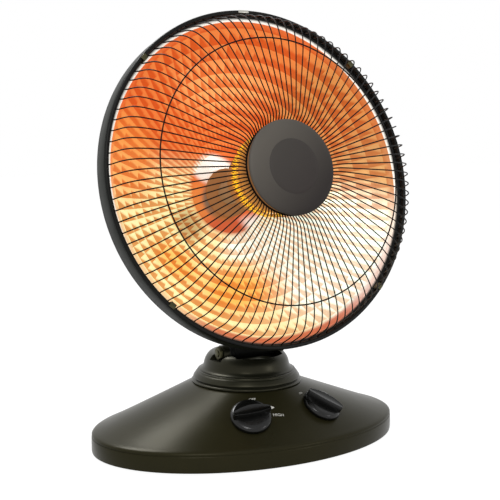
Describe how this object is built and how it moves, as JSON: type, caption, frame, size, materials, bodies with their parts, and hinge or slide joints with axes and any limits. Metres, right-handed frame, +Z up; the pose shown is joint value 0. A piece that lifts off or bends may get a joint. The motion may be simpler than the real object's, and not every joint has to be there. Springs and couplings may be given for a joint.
{
  "type": "parabolic heater",
  "caption": "Electric dish heater: reflector and cone element behind a radial wire guard, on a turret that swings and tilts over an oval base with rotary knobs.",
  "frame": {"origin": "on the floor, under the turret's swing axis, which is also the middle of the base", "axes": "+Z up along the swing axis, -Y to the front, where the knobs and the guard are, +X to the right as seen from behind the heater"},
  "size_m": [0.379, 0.249, 0.4898],
  "materials": {
    "base_plastic": "satin moulded plastic, dark olive grey",
    "dark_plastic": "matt black plastic",
    "knob_plastic": "semi-gloss moulded plastic",
    "housing_paint": "satin dark olive paint on pressed steel",
    "guard_paint": "semi-gloss dark coating on steel wire",
    "reflector_sheet": "polished, embossed with small facets",
    "cap_paint": "satin grey",
    "element_ceramic": "unglazed",
    "glowing_wire": "resistance wire at work, glowing yellow",
    "bright_steel": "zinc plated",
    "brass": "turned",
    "rubber": "matt"
  },
  "bodies": {
    "base": {"base_shell": "base_plastic", "base_plate": "dark_plastic", "foot_front_left": "rubber", "foot_front_right": "rubber", "foot_rear_left": "rubber", "foot_rear_right": "rubber", "base_screw_front_left": "bright_steel", "base_screw_front_right": "bright_steel", "base_screw_rear_left": "bright_steel", "base_screw_rear_right": "bright_steel", "neck_collar": "base_plastic", "turret_bush": "brass", "swing_motor": "bright_steel", "switch_heat": "dark_plastic", "switch_swing": "dark_plastic", "tip_switch": "dark_plastic", "tip_spring": "bright_steel", "cord_gland": "rubber", "terminal_block": "element_ceramic"},
    "tip_plunger": {"tip_plunger": "dark_plastic"},
    "knob_heat": {"knob_heat": "knob_plastic", "shaft_heat": "brass"},
    "knob_swing": {"knob_swing": "knob_plastic", "shaft_swing": "brass"},
    "crank": {"swing_crank": "brass"},
    "turret": {"turret": "base_plastic", "spindle": "bright_steel", "spindle_nut": "bright_steel", "swing_lever": "bright_steel", "tilt_bolt": "bright_steel", "tilt_nut": "bright_steel", "tilt_washer_left": "rubber", "tilt_washer_right": "rubber"},
    "head": {"head_bracket": "dark_plastic", "bracket_screw_1": "bright_steel", "bracket_screw_2": "bright_steel", "bracket_screw_3": "bright_steel", "bracket_screw_4": "bright_steel", "rear_housing": "housing_paint", "rear_cover": "housing_paint", "reflector": "reflector_sheet", "rim_ring": "housing_paint", "guard_wires": "guard_paint", "guard_support_ring": "guard_paint", "guard_clip_upper_left": "bright_steel", "guard_clip_upper_right": "bright_steel", "guard_clip_lower_left": "bright_steel", "guard_clip_lower_right": "bright_steel", "hub_plate": "guard_paint", "hub_cap": "cap_paint", "cap_disc": "cap_paint", "hub_screw": "bright_steel", "element_cone": "element_ceramic", "heating_coil": "glowing_wire", "element_socket": "element_ceramic", "element_stem": "bright_steel", "element_bolt": "bright_steel", "element_nut": "bright_steel", "overheat_cutout": "brass"}
  },
  "joints": [
    {"name": "head_swing", "type": "hinge", "parent": "base", "child": "turret", "pos_m": [0, 0, 0.07], "axis": [0, 0, 1], "range_deg": [-30, 30]},
    {"name": "crank_turn", "type": "hinge", "parent": "base", "child": "crank", "pos_m": [0, 0.04, 0.05], "axis": [0, 0, 1], "range_deg": [-90, 90]},
    {"name": "head_tilt", "type": "hinge", "parent": "turret", "child": "head", "pos_m": [0, -0.008, 0.1051], "axis": [1, 0, 0], "range_deg": [-12, 14]},
    {"name": "heat_knob_turn", "type": "hinge", "parent": "base", "child": "knob_heat", "pos_m": [-0.042, -0.08369, 0.0482], "axis": [-0.1631, -0.5478, 0.8206], "range_deg": [-120, 0]},
    {"name": "swing_knob_turn", "type": "hinge", "parent": "base", "child": "knob_swing", "pos_m": [0.05, -0.08104, 0.0482], "axis": [0.1913, -0.5225, 0.8309], "range_deg": [0, 90]},
    {"name": "tip_plunger_slide", "type": "slide", "parent": "base", "child": "tip_plunger", "axis": [0, 0, -1], "range_m": [0, 0.004], "stiffness_N_per_m": 300, "springref_m": 0.004, "deforming": ["tip_spring"]}
  ],
  "couplings": [
    {"joint": "crank_turn", "follows": "head_swing", "ratio": 3}
  ]
}
